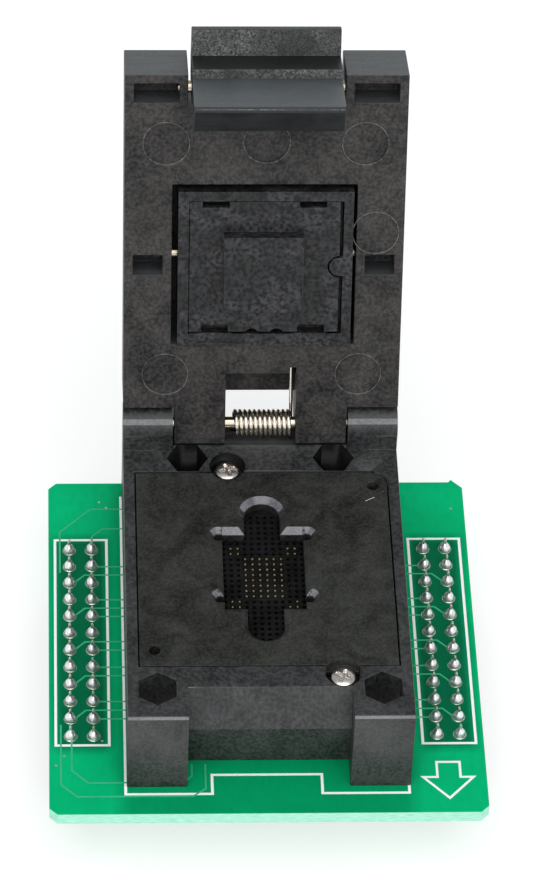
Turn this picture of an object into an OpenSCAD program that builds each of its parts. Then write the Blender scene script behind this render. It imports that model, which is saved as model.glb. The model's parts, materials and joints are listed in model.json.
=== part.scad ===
// Clamshell test socket for a 63-ball grid-array memory, on its adapter board.
// Millimetres, +Z up. The origin is the centre of the package seat, on top of the pin plate.
// +X is the socket's right and -Y is its front, where the latch closes.

/* [Adapter board] */
// Width of the board, left to right
board_w = 48.2; // [48:0.1:60]
// Depth of the board, front to back
board_d = 49.7; // [49.4:0.1:60]
// Thickness of the board
board_t = 1.6; // [1.2:0.1:2.4]
// Distance between the outer header columns
header_span = 43.18; // [43.18:2.54:50.8]
// Contacts in one header column
header_rows = 12; // [4:1:15]
// Height of the header housings under the board
header_h = 8.5; // [6:0.5:11]

/* [Socket] */
// Width of the socket base and of the lid
socket_w = 31.2; // [31.2:0.1:33]
// Height of the base, from the board to its top face
base_h = 11.5; // [11.5:0.1:14]
// Reach of the front legs, forwards from the package centre
leg_reach = 22.05; // [22.05:0.1:22.6]
// Width of the recess between the front legs
recess_w = 17.9; // [17.4:0.1:18.4]
// Width of the floating guide plate
guide_w = 28.4; // [28:0.1:28.6]

/* [Package] */
// Package width
package_w = 9; // [9:0.1:10]
// Package depth
package_d = 11; // [11:0.1:12]
// Contact pitch
pitch = 0.8; // [0.8:0.05:0.8]
// Depth of the package pocket
pocket_h = 1.7; // [1.5:0.1:1.7]

/* [Lid] */
// Angle of the lid from closed, as it rests open
open_deg = 108; // [90:1:110]
// Lid length, from the hinge axis to its front end
lid_l = 43.7; // [43.4:0.1:44]
// Lid thickness
lid_t = 7.3; // [6.9:0.1:8]
// Height of the pusher's boss above its plate
boss_h = 1.7; // [1:0.1:1.7]

/* [Hidden] */

$fn = 32;
eps = 0.01;
inch_tenth = 2.54;

// Heights
base_top = 1.75;
board_top = base_top - base_h;
board_bottom = board_top - board_t;
header_bottom = board_bottom - header_h;
guide_top = pocket_h;

// The socket stands this far to the right of the package's centre
socket_x = 0.12;

// Board
board_x = 0.12;
board_y = -1;
board_cut = 0.9;
nib_w = 0.7;
nib_reach = 0.4;
header_y = -0.75;
header_x = (header_span - inch_tenth) / 2;
header_body_w = 5;
lead_hole_r = 0.5;
mount_hole_r = 1.1;

// Header contacts
tail_r = 0.3;
tail_up = 1.9;
sleeve_r = 0.8;
sleeve_bore_r = 0.42;
sleeve_bottom = header_bottom + 0.85;
sleeve_top = board_bottom - 1.15;
solder_r = 0.88;
solder_h = 1.05;

// Hinge
hinge_y = 20.5;
hinge_z = 3.8;
hinge_r = 2.4;
hinge_pin_r = 0.7;
hinge_gap = 0.18;
ear_inner = 9.95;
knuckle_outer = 9.8;
knuckle_inner = 4;
seat_drop = 1.5;

// Base
base_back = hinge_y + hinge_r;
recess_top_y = -17.55;
lip_y = -19.7;
lip_z = -2.9;
recess_wall_y = -18.3;
leg_cut = 0.36;
guide_room = 0.15;
guide_front = -14.4;
guide_rear = 14.6;
guide_corner_r = 2;
guide_floor = -0.5;
window_x = 8.2;
window_y = 12.9;
nut_flats = 4.1;
nut_floor = -5.5;
rear_nut = [8.3, 16.85];
front_nut = [12.3, -17.7];
screw_spots = [[-3.65, 15.6], [8.15, -15.5]];
screw_well_r = 2.05;
screw_head_r = 1.33;
screw_head_z = 0.6;
screw_head_t = 0.7;
screw_shank_r = 0.6;
guide_spring_spots = [[-11.2, 10.5], [11.2, 10.5], [-11.2, -9], [11.2, -9]];
guide_spring_r = 1.0;
guide_spring_floor = -5;

// Contacts: the ball positions of a 63-ball memory, counted from the centre of a 10 x 12 field
field_cols = 10;
field_rows = 12;
grid_cols = 12;
grid_rows = 25;
grid_hole_r = 0.23;
plunger_r = 0.16;
plunger_tip = 0.12;
plunger_in_barrel = 2.4;
barrel_r = 0.26;
barrel_bore_r = 0.18;
barrel_bore_deep = 3;
carrier_top = -1.6;
plate_t = 1;

// Lid, in its own closed frame: x from the lid's middle, y from the hinge axis, z up from the underside
window_w = 20.55;
window_d = 19.84;
window_c = -20.6;
window_top = 5.6;
spring_gap_y = -7;
web_z = 5;
heel_y = 1.1;
ear_clear_y = -2.65;
notch_w = 17.3;
notch_y = -39.1;
latch_pin_y = -41.5;
latch_pin_z = 2;
latch_pin_r = 0.7;
end_pocket_x = [9.6, 14.6];
end_pocket_y = [-42.7, -40.4];
side_pocket_x = [11.3, 14.6];
side_pocket_y = [-21.85, -19.4];
pocket_deep = 3.6;
mark_r = 2.55;
mark_deep = 0.18;
mark_spots = [[-11, -35.5], [0.1, -35.7], [11, -35.5], [-10.9, -6.95], [10.9, -6.95], [12.4, -24.6]];

// Pusher: its frame is loose in the window and lies towards the right and the hinge
frame_x = 0.15;
frame_y = window_c + 0.3;
frame_w = 19.5;
frame_d = 19.1;
frame_low = -0.45;
frame_high = 4.4;
plate_x = [-8.32, 8.43];
plate_y = [-28.6, -12.5];
plate_high = 1.15;
plate_gap = 0.05;
key_r = 1.3;
clip_w = 3;
clip_x = 5.4;
clip_relief_w = 3.75;
clip_relief_deep = 0.25;
boss_x = -0.07;
boss_y = -20.35;
boss_w = 8.9;
boss_d = 9.3;
cross_pin_r = 0.6;
cross_pin_z = 3.4;
float_travel = 0.8;
pusher_spring_at = 6.5;
pusher_spring_r = 1.05;
pusher_spring_low = 2.6;

// Latch
latch_w = 16.5;
tab_z = 3.75;
tab_t = 1;
tab_end = -47.5;
latch_spring_x = 5;
latch_spring_z = 4.5;
latch_spring_r = 0.85;
latch_spring_deep = 2.4;

// Torsion spring
coil_wire_r = 0.22;
coil_r = 1.375;
coil_x0 = -2.8;
coil_pitch = 0.545;
coil_back_turns = 11;
coil_end_deg = 360 * coil_back_turns + 342 + (108 - open_deg);
base_leg = 6;
lid_leg = 7.5;

// Gap that keeps a compression spring's end off the face it presses
spring_play = 0.03;

black_plastic = [0.16, 0.16, 0.165];
guide_plastic = [0.12, 0.125, 0.12];
board_green = [0.05, 0.5, 0.3];
tin = [0.78, 0.78, 0.76];
steel = [0.72, 0.7, 0.66];
gold = [0.88, 0.72, 0.42];

function contact_used(c, r) =
  (c >= 2 && c <= 7 && r >= 2 && r <= 9)
  || ((c <= 1 || c >= 8) && (r <= 1 || r >= 10) && !(c == 8 && r == 1));

function contact_spots() = [
  for (c = [0:field_cols - 1]) for (r = [0:field_rows - 1]) if (contact_used(c, r))
    [(c - (field_cols - 1) / 2) * pitch, (r - (field_rows - 1) / 2) * pitch]
];

// Puts a shape drawn in the lid's closed frame at the lid's open place.
module on_lid() {
  translate([socket_x, hinge_y, hinge_z])
    rotate([-open_deg, 0, 0])
      translate([0, 0, -seat_drop])
        children();
}

// A box between two corners.
module block(low, high) {
  translate(low)
    cube(high - low);
}

// A cylinder along X.
module rod_x(r, x0, x1, y, z) {
  translate([x0, y, z])
    rotate([0, 90, 0])
      cylinder(r = r, h = x1 - x0);
}

// A profile in Y and Z, drawn out along X.
module slab_x(points, x0, x1) {
  translate([x0, 0, 0])
    rotate([90, 0, 90])
      linear_extrude(x1 - x0)
        polygon(points);
}

module slab_y(points, y0, y1) {
  translate([0, y1, 0])
    rotate([90, 0, 0])
      linear_extrude(y1 - y0)
        polygon(points);
}

module each_header_hole(side) {
  for (column = [0, 1])
    for (row = [0:header_rows - 1])
      translate([
        side * (header_span / 2 - column * inch_tenth),
        header_y + (row - (header_rows - 1) / 2) * inch_tenth,
        0
      ])
        children();
}

module at_nuts() {
  for (side = [-1, 1]) {
    translate([socket_x + side * rear_nut[0], rear_nut[1], 0])
      children(0);
    translate([socket_x + side * front_nut[0], front_nut[1], 0])
      rotate([0, 0, 30])
        children(0);
  }
}

// Wire rings along a path, joined into one closed tube.
module wire_tube(rings) {
  sides = len(rings[0]);
  last = len(rings) - 1;
  points = [for (ring = rings) for (p = ring) p];
  walls = [
    for (i = [0:last - 1]) for (j = [0:sides - 1])
      [i * sides + j, i * sides + (j + 1) % sides, (i + 1) * sides + (j + 1) % sides, (i + 1) * sides + j]
  ];
  caps = [
    [for (j = [sides - 1:-1:0]) j],
    [for (j = [0:sides - 1]) last * sides + j]
  ];
  polyhedron(points, concat(walls, caps), convexity = 10);
}

function wire_ring(angle, along, lift, mean_r, wire_r, sides) = [
  for (j = [0:sides - 1])
    let (b = -360 * j / sides, r = mean_r + wire_r * cos(b))
      [r * cos(angle) - lift * sin(angle), r * sin(angle) + lift * cos(angle), along + wire_r * sin(b)]
];

// Compression spring along +Z, from 0 to its length, with two closed end turns.
module compression_spring(outer_r, wire_r, length, turns) {
  steps = 12;
  mean_r = outer_r - wire_r;
  count = (turns + 2) * steps;
  function rise(i) =
    let (t = i / steps)
      t < 1 ? t * 2.1 * wire_r
      : t > turns + 1 ? length - 2 * wire_r - (turns + 2 - t) * 2.1 * wire_r
      : 2.1 * wire_r + (t - 1) / turns * (length - 6.2 * wire_r);
  wire_tube([
    for (i = [0:count])
      wire_ring(360 * i / steps, wire_r + rise(i), 0, mean_r, wire_r, 6)
  ]);
}

module adapter_board() {
  x = board_w / 2;
  y = board_d / 2;
  c = board_cut;
  color(board_green)
    difference() {
      translate([board_x, board_y, board_bottom])
        linear_extrude(board_t)
          polygon([
            [-x, c - y], [c - x, -y], [x - c, -y], [x, c - y],
            [x, y - c], [x - c, y], [x - c - nib_w / 2, y + nib_reach], [x - c - nib_w, y],
            [c - x, y], [-x, y - c]
          ]);
      for (side = [-1, 1])
        each_header_hole(side)
          translate([0, 0, board_bottom - 1])
            cylinder(r = lead_hole_r, h = board_t + 2);
      at_nuts()
        translate([0, 0, board_bottom - 1])
          cylinder(r = mount_hole_r, h = board_t + 2);
    }
}

// Female header housing, open at the bottom of every contact.
module header_housing(side) {
  long = header_rows * inch_tenth;
  color(black_plastic)
    difference() {
      block(
        [side * header_x - header_body_w / 2, header_y - long / 2, header_bottom],
        [side * header_x + header_body_w / 2, header_y + long / 2, board_bottom]
      );
      each_header_hole(side) {
        translate([0, 0, header_bottom - 1])
          cylinder(r = lead_hole_r, h = header_h + 2);
        translate([0, 0, sleeve_bottom])
          cylinder(r = sleeve_r + 0.05, h = sleeve_top - sleeve_bottom + 0.1);
      }
    }
}

module header_contacts(side) {
  color(tin)
    each_header_hole(side) {
      difference() {
        translate([0, 0, sleeve_bottom])
          cylinder(r = sleeve_r, h = sleeve_top - sleeve_bottom);
        translate([0, 0, sleeve_bottom - 1])
          cylinder(r = sleeve_bore_r, h = sleeve_top - sleeve_bottom);
      }
      translate([0, 0, sleeve_top - eps])
        cylinder(r = tail_r, h = board_top + tail_up - 0.15 - sleeve_top + eps);
      translate([0, 0, board_top + tail_up - 0.15])
        cylinder(r1 = tail_r, r2 = tail_r * 0.55, h = 0.15);
    }
}

// Solder fillet round each tail, with the concave side that wetting gives it.
module solder_joint() {
  rotate_extrude()
    polygon([
      [tail_r + 0.01, 0], [solder_r, 0], [solder_r, 0.08], [solder_r * 0.72, 0.42],
      [solder_r * 0.53, 0.78], [tail_r + 0.08, solder_h], [tail_r + 0.01, solder_h]
    ]);
}

module solder_joints(side) {
  color(tin)
    each_header_hole(side)
      translate([0, 0, board_top])
        solder_joint();
}

module ears() {
  for (side = [-1, 1])
    mirror([side < 0 ? 1 : 0, 0, 0]) {
      rod_x(hinge_r, ear_inner, socket_w / 2, hinge_y, hinge_z);
      block(
        [ear_inner, hinge_y - hinge_r, base_top - 1],
        [socket_w / 2, hinge_y + hinge_r, hinge_z]
      );
    }
}

// Side view of the base between its legs: ramp, lip and undercut for the latch's hook.
module base_block() {
  half = socket_w / 2;
  cut = leg_cut;
  slab_x([
    [recess_wall_y, board_top], [base_back, board_top], [base_back, base_top],
    [recess_top_y, base_top], [lip_y, lip_z], [recess_wall_y, lip_z]
  ], -half, half);
  for (side = [-1, 1])
    mirror([side < 0 ? 1 : 0, 0, 0])
      slab_x([
        [-leg_reach, board_top], [recess_wall_y + 1, board_top], [recess_wall_y + 1, base_top],
        [cut - leg_reach, base_top], [-leg_reach, base_top - cut]
      ], recess_w / 2, half);
}

module nut_well() {
  translate([0, 0, nut_floor])
    cylinder(r = nut_flats / 2 / cos(30), h = base_top - nut_floor + 1, $fn = 6);
}

// Plan of the guide plate, grown by room on every side. The rear right corner is round.
module guide_plan(room) {
  left = socket_x - guide_w / 2 - room;
  right = socket_x + guide_w / 2 + room;
  front = guide_front - room;
  rear = guide_rear + room;
  difference() {
    translate([left, front])
      square([right - left, rear - front]);
    translate([right - guide_corner_r, rear - guide_corner_r])
      difference() {
        square(guide_corner_r + 1);
        circle(r = guide_corner_r);
      }
  }
}

module socket_base() {
  color(black_plastic)
    difference() {
      translate([socket_x, 0, 0])
        union() {
          base_block();
          ears();
        }
      translate([0, 0, guide_floor])
        linear_extrude(base_top - guide_floor + 1)
          guide_plan(guide_room);
      block([-window_x, -window_y, board_top - 1], [window_x, window_y, guide_floor + 1]);
      rod_x(hinge_r + hinge_gap, socket_x - ear_inner, socket_x + ear_inner, hinge_y, hinge_z);
      rod_x(hinge_pin_r + 0.01, -socket_w / 2 - 1, socket_w / 2 + 1, hinge_y, hinge_z);
      at_nuts() {
        union() {
          nut_well();
          translate([0, 0, board_top - 1])
            cylinder(r = mount_hole_r, h = base_h);
        }
      }
      for (spot = screw_spots)
        translate([spot[0], spot[1], 0]) {
          translate([0, 0, guide_floor])
            cylinder(r = screw_well_r, h = base_top - guide_floor + 1);
          translate([0, 0, -6])
            cylinder(r = screw_shank_r + 0.01, h = 7);
        }
      for (spot = guide_spring_spots)
        translate([spot[0], spot[1], guide_spring_floor])
          cylinder(r = guide_spring_r + 0.3, h = guide_floor - guide_spring_floor + 1);
      translate([coil_x0, hinge_y + coil_r, hinge_z - base_leg - 0.4])
        cylinder(r = coil_wire_r + 0.25, h = base_leg);
    }
}

// Block that holds the contacts' barrels, let into the base from below.
module contact_carrier() {
  color(guide_plastic)
    difference() {
      block(
        [0.1 - window_x, 0.1 - window_y, board_top],
        [window_x - 0.1, window_y - 0.1, carrier_top]
      );
      for (spot = contact_spots())
        translate([spot[0], spot[1], board_top - 1])
          cylinder(r = barrel_r + 0.02, h = carrier_top - board_top + 2, $fn = 24);
    }
}

// Sleeves of the spring contacts, standing on the board's pads.
module contact_barrels() {
  color(gold)
    for (spot = contact_spots())
      translate([spot[0], spot[1], 0])
        difference() {
          translate([0, 0, board_top])
            cylinder(r = barrel_r, h = carrier_top - board_top, $fn = 24);
          translate([0, 0, carrier_top - barrel_bore_deep])
            cylinder(r = barrel_bore_r, h = barrel_bore_deep + 1, $fn = 24);
        }
}

// Sprung tips that touch the package's balls.
module contact_plungers() {
  low = carrier_top - plunger_in_barrel;
  taper = 0.08;
  color(gold)
    for (spot = contact_spots())
      translate([spot[0], spot[1], 0]) {
        translate([0, 0, low])
          cylinder(r = plunger_r, h = plunger_tip - taper - low, $fn = 24);
        translate([0, 0, plunger_tip - taper])
          cylinder(r1 = plunger_r, r2 = plunger_r * 0.5, h = taper, $fn = 24);
      }
}

// Floor of the package pocket, with the whole 0.8 mm grid drilled through.
module pin_plate() {
  color(guide_plastic)
    difference() {
      block([0.2 - window_x, 0.2 - window_y, -plate_t], [window_x - 0.2, window_y - 0.2, 0]);
      for (c = [0:grid_cols - 1])
        for (r = [0:grid_rows - 1])
          translate([
            (c - (grid_cols - 1) / 2) * pitch,
            (r - (grid_rows - 1) / 2 - 0.5) * pitch,
            -plate_t - 1
          ])
            cylinder(r = grid_hole_r, h = plate_t + 2, $fn = 16);
    }
}

// Slopes along the left and right edge of an opening that reaches edge from the middle.
module side_bevel(edge, y0, y1, bevel) {
  for (side = [-1, 1])
    mirror([side < 0 ? 1 : 0, 0, 0])
      slab_y([
        [edge - 0.5, guide_top - bevel - 0.5], [edge + bevel + 1, guide_top + 1], [edge - 0.5, guide_top + 1]
      ], y0, y1);
}

// The package pocket, its finger slot and the round corner reliefs.
module guide_openings() {
  w = package_w / 2 + 0.05;
  d = package_d / 2 + 0.05;
  slot_r = 2;
  slot_back = 8.3;
  slot_front = -8.25;
  relief_r = 0.5;
  relief_x = w + 0.42;
  relief_back = d - 0.34;
  relief_front = 1.4 - d;
  bevel = 0.68;
  deep = pocket_h + 2;
  block([-w, -d, -1], [w, d, deep]);
  block([-slot_r, slot_front, -1], [slot_r, slot_back, deep]);
  for (y = [slot_front, slot_back])
    translate([0, y, -1])
      cylinder(r = slot_r, h = deep + 1);
  // bevels that lead the package in
  slab_x([[d - 0.5, guide_top - bevel - 0.5], [d + bevel + 1, guide_top + 1], [d - 0.5, guide_top + 1]], -w, w);
  slab_x([[0.5 - d, guide_top - bevel - 0.5], [-d - bevel - 1, guide_top + 1], [0.5 - d, guide_top + 1]], -w, w);
  side_bevel(w, relief_front, relief_back, bevel);
  side_bevel(slot_r, slot_front, slot_back, bevel);
  for (y = [slot_front, slot_back])
    translate([0, y, guide_top - bevel])
      cylinder(r1 = slot_r, r2 = slot_r + bevel, h = bevel + eps);
  for (x = [-relief_x, relief_x])
    for (y = [relief_front, relief_back])
      translate([x, y, 0]) {
        translate([0, 0, -1])
          cylinder(r = relief_r, h = deep + 1);
        translate([0, 0, guide_top - bevel])
          cylinder(r1 = relief_r, r2 = relief_r + bevel * 0.8, h = bevel + eps);
      }
}

module guide_plate() {
  color(guide_plastic)
    difference() {
      linear_extrude(guide_top)
        guide_plan(0);
      guide_openings();
      for (spot = [[12.7, 12.5], [-12.4, -12.1]])
        translate([spot[0], spot[1], -1])
          cylinder(r = 0.65, h = guide_top + 2);
      for (spot = screw_spots)
        translate([spot[0], spot[1], screw_head_z - 0.05])
          cylinder(r = screw_well_r, h = guide_top);
      for (spot = screw_spots)
        translate([spot[0], spot[1], -1])
          cylinder(r = screw_shank_r + 0.25, h = guide_top);
      // pin-1 line and the scribed line beside it
      translate([11.8, 10.15, guide_top - 0.15])
        rotate([0, 0, 29])
          cube([2.5, 0.26, 1]);
      block([11.2, 6.45, guide_top - 0.08], [guide_w, 6.6, guide_top + 1]);
    }
}

module guide_springs() {
  color(steel)
    for (spot = guide_spring_spots)
      translate([spot[0], spot[1], guide_spring_floor])
        compression_spring(guide_spring_r, 0.14, -guide_spring_floor - spring_play, 5);
}

module cross_recess(r, deep, top) {
  for (turn = [0, 90])
    rotate([0, 0, turn + 20])
      block([-r, -0.2, top - deep], [r, 0.2, top + 1]);
}

module guide_screws() {
  top = screw_head_z + screw_head_t;
  color(steel)
    for (spot = screw_spots)
      translate([spot[0], spot[1], 0])
        difference() {
          union() {
            translate([0, 0, -5.6])
              cylinder(r = screw_shank_r, h = 5.6 + screw_head_z + eps);
            translate([0, 0, screw_head_z])
              cylinder(r = screw_head_r, h = screw_head_t - 0.25);
            translate([0, 0, top - 0.25])
              cylinder(r1 = screw_head_r, r2 = screw_head_r - 0.3, h = 0.25);
          }
          cross_recess(0.85, 0.4, top);
        }
}

module mounting_screws() {
  head_t = 1.3;
  color(steel)
    at_nuts()
      difference() {
        union() {
          translate([0, 0, board_bottom - head_t + 0.4])
            cylinder(r = 1.9, h = head_t - 0.4);
          translate([0, 0, board_bottom - head_t])
            cylinder(r1 = 1.5, r2 = 1.9, h = 0.4);
          translate([0, 0, board_bottom - eps])
            cylinder(r = 1, h = nut_floor + 2.2 - board_bottom + eps);
        }
        mirror([0, 0, 1])
          cross_recess(1.1, 0.7, head_t - board_bottom);
      }
}

module mounting_nuts() {
  nut_t = 1.6;
  color(steel)
    at_nuts()
      translate([0, 0, nut_floor])
        difference() {
          cylinder(r = (nut_flats - 0.1) / 2 / cos(30), h = nut_t, $fn = 6);
          translate([0, 0, -1])
            cylinder(r = 1.01, h = nut_t + 2);
        }
}

module hinge_pin() {
  half = socket_w / 2 - 0.3;
  color(steel)
    rod_x(hinge_pin_r, socket_x - half, socket_x + half, hinge_y, hinge_z);
}

// Coil on the hinge pin: one leg down in the base, the other up behind the lid's end wall.
module torsion_spring() {
  steps = 14;
  count = round(coil_end_deg / 360 * steps);
  sides = 6;
  run = coil_end_deg / 360 * coil_pitch;
  function ring(angle, along, lift) = [
    for (p = wire_ring(angle, along, lift, coil_r, coil_wire_r, sides))
      [p[2], hinge_y + p[0], hinge_z + p[1]]
  ];
  color(steel)
    wire_tube(concat(
      [ring(0, coil_x0, -base_leg), ring(0, coil_x0, -0.3)],
      [for (i = [0:count]) ring(coil_end_deg * i / count, coil_x0 + run * i / count, 0)],
      [ring(coil_end_deg, coil_x0 + run, 0.3), ring(coil_end_deg, coil_x0 + run, lid_leg)]
    ));
}

// Outline of the lid, still without its openings.
module lid_blank() {
  half = socket_w / 2;
  top = lid_t;
  cut = 0.3;
  slab_x([
    [-lid_l, 0], [ear_clear_y, 0], [ear_clear_y, top - cut], [ear_clear_y - cut, top],
    [cut - lid_l, top], [-lid_l, top - cut]
  ], -half, half);
  // the back of the lid reaches a little further between the knuckles
  block([-knuckle_inner - 1, ear_clear_y - 1, web_z], [knuckle_inner + 1, ear_clear_y + 0.35, top - cut]);
  for (side = [-1, 1])
    mirror([side < 0 ? 1 : 0, 0, 0]) {
      difference() {
        rod_x(hinge_r, knuckle_inner, knuckle_outer, 0, seat_drop);
        block([0, -hinge_r - 1, -hinge_r - 1], [knuckle_outer + 1, hinge_r + 1, 0]);
      }
      slab_x([
        [ear_clear_y - 1, 0], [0, 0], [heel_y, seat_drop], [heel_y, top - 1.6],
        [heel_y - 1.6, top], [ear_clear_y - 1, top]
      ], knuckle_inner, knuckle_outer);
    }
}

module lid_pockets() {
  for (side = [-1, 1])
    mirror([side < 0 ? 1 : 0, 0, 0]) {
      block([end_pocket_x[0], end_pocket_y[0], -1], [end_pocket_x[1], end_pocket_y[1], pocket_deep]);
      block([side_pocket_x[0], side_pocket_y[0], -1], [side_pocket_x[1], side_pocket_y[1], pocket_deep]);
    }
}

module lid() {
  groove_x = coil_x0 + coil_end_deg / 360 * coil_pitch - socket_x;
  color(black_plastic)
    on_lid()
      difference() {
        lid_blank();
        block(
          [-window_w / 2, window_c - window_d / 2, -1],
          [window_w / 2, window_c + window_d / 2, window_top]
        );
        block([-knuckle_inner, spring_gap_y, -1], [knuckle_inner, heel_y + 1, web_z]);
        block([-notch_w / 2, -lid_l - 1, -1], [notch_w / 2, notch_y, lid_t + 1]);
        block(
          [groove_x - coil_wire_r - 0.12, -lid_leg - 0.25, -1],
          [groove_x + coil_wire_r + 0.12, spring_gap_y + 1, seat_drop + coil_r + coil_wire_r + 0.05]
        );
        lid_pockets();
        for (spot = mark_spots)
          translate([spot[0], spot[1], -1])
            cylinder(r = mark_r, h = 1 + mark_deep);
        rod_x(hinge_pin_r + 0.05, -socket_w, socket_w, 0, seat_drop);
        rod_x(latch_pin_r + 0.01, -end_pocket_x[0] - 1, end_pocket_x[0] + 1, latch_pin_y, latch_pin_z);
        rod_x(cross_pin_r + 0.01, -side_pocket_x[0] - 1, side_pocket_x[0] + 1, window_c, cross_pin_z);
        for (x = [-latch_spring_x, latch_spring_x])
          translate([x, notch_y - 1, latch_spring_z])
            rotate([-90, 0, 0])
              cylinder(r = latch_spring_r + 0.2, h = latch_spring_deep + 1);
      }
}

module pusher_frame() {
  r = cross_pin_r + 0.1;
  slot_low = cross_pin_z - float_travel;
  color(black_plastic)
    on_lid()
      difference() {
        translate([frame_x, frame_y, 0])
          block([-frame_w / 2, -frame_d / 2, frame_low], [frame_w / 2, frame_d / 2, frame_high]);
        difference() {
          block(
            [plate_x[0] - plate_gap, plate_y[0] - plate_gap, frame_low - 1],
            [plate_x[1] + 0.38, plate_y[1] + 0.22, plate_high + plate_gap]
          );
          // rounded key that fits the insert's notch
          translate([plate_x[1], window_c, frame_low - 2])
            cylinder(r = key_r - 0.17, h = plate_high + 4);
          block(
            [plate_x[1], window_c - key_r + 0.17, frame_low - 2],
            [plate_x[1] + 1, window_c + key_r - 0.17, plate_high + 1]
          );
        }
        // slot for the cross pin
        rod_x(r, -frame_w, frame_w, window_c, cross_pin_z);
        rod_x(r, -frame_w, frame_w, window_c, slot_low);
        block([-frame_w, window_c - r, slot_low], [frame_w, window_c + r, cross_pin_z]);
        for (x = [-pusher_spring_at, pusher_spring_at])
          for (y = [-pusher_spring_at, pusher_spring_at])
            translate([x, window_c + y, pusher_spring_low])
              cylinder(r = pusher_spring_r + 0.2, h = frame_high);
        // shallow reliefs in the hinge-side rim, under the clips
        for (x = [-clip_x, clip_x])
          block(
            [x - clip_relief_w / 2, plate_y[1], frame_low - 1],
            [x + clip_relief_w / 2, plate_y[1] + 1.35, frame_low + clip_relief_deep]
          );
      }
}

module pusher_plate() {
  face = frame_low + 0.03;
  color(black_plastic)
    on_lid()
      difference() {
        union() {
          block([plate_x[0], plate_y[0], face], [plate_x[1], plate_y[1], plate_high]);
          translate([boss_x, boss_y, 0])
            block([-boss_w / 2, -boss_d / 2, face - boss_h], [boss_w / 2, boss_d / 2, face + eps]);
        }
        translate([plate_x[1], window_c, face - 1])
          cylinder(r = key_r, h = plate_high + 2);
        for (x = [-clip_x, clip_x]) {
          block([x - clip_w / 2, plate_y[0] - 1, face - 1], [x + clip_w / 2, plate_y[0] + 0.7, 3]);
          block([x - clip_w / 2, plate_y[1] - 0.85, face - 1], [x + clip_w / 2, plate_y[1] + 1, 3]);
        }
        for (x = [-1.25, 1.55])
          translate([x, plate_y[1] + 0.45, face - 1])
            cylinder(r = 0.85, h = 4);
      }
}

module pusher_pin() {
  color(steel)
    on_lid()
      rod_x(cross_pin_r, -side_pocket_x[0] - 0.2, side_pocket_x[0] + 0.2, window_c, cross_pin_z);
}

module pusher_springs() {
  color(steel)
    on_lid()
      for (x = [-pusher_spring_at, pusher_spring_at])
        for (y = [-pusher_spring_at, pusher_spring_at])
          translate([x, window_c + y, pusher_spring_low])
            compression_spring(pusher_spring_r, 0.14, window_top - pusher_spring_low - spring_play, 3);
}

// Side view of the latch: hook below, finger tab in front, barrel round its pin.
module latch() {
  outer = -43.3;
  inner = -41.9;
  color(black_plastic)
    on_lid()
      difference() {
        slab_x([
          [outer - 1.1, 0], [outer, 0], [outer, -7.45], [outer + 0.3, -7.75], [inner - 0.7, -7.75],
          [-39.7, -6], [-39.7, -5.35], [inner, -5.35], [inner, 0.1], [-40.2, 0.35],
          [-39.9, 1], [-39.9, 2.6], [-40.9, 6.2], [-43.6, 6.5],
          [tab_end, tab_z + tab_t], [tab_end, tab_z], [outer - 1.1, tab_z]
        ], -latch_w / 2, latch_w / 2);
        rod_x(latch_pin_r + 0.05, -latch_w, latch_w, latch_pin_y, latch_pin_z);
      }
}

module latch_pin() {
  reach = end_pocket_x[0] + 0.3;
  color(steel)
    on_lid()
      rod_x(latch_pin_r, -reach, reach, latch_pin_y, latch_pin_z);
}

module latch_springs() {
  color(steel)
    on_lid()
      for (x = [-latch_spring_x, latch_spring_x])
        translate([x, notch_y + latch_spring_deep, latch_spring_z])
          rotate([90, 0, 0])
            compression_spring(latch_spring_r, 0.12, latch_spring_deep + 1.2, 4);
}

adapter_board();
header_housing(-1);  // header_left
header_housing(1);  // header_right
header_contacts(-1);  // header_contacts_left
header_contacts(1);  // header_contacts_right
solder_joints(-1);  // solder_left
solder_joints(1);  // solder_right
socket_base();
contact_carrier();
contact_barrels();
contact_plungers();
pin_plate();
guide_plate();
guide_springs();
guide_screws();
mounting_screws();
mounting_nuts();
hinge_pin();
torsion_spring();
lid();
pusher_frame();
pusher_plate();
pusher_pin();
pusher_springs();
latch();
latch_pin();
latch_springs();
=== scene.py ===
"""Looks of a clamshell memory socket on its adapter board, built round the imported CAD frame.

Lengths are in metres, and mm is one millimetre. +Z is up, -Y is the front and the lid rests open.
"""
import json
import math
import random

import bmesh
import bpy
from mathutils import Matrix, Vector, noise


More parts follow.
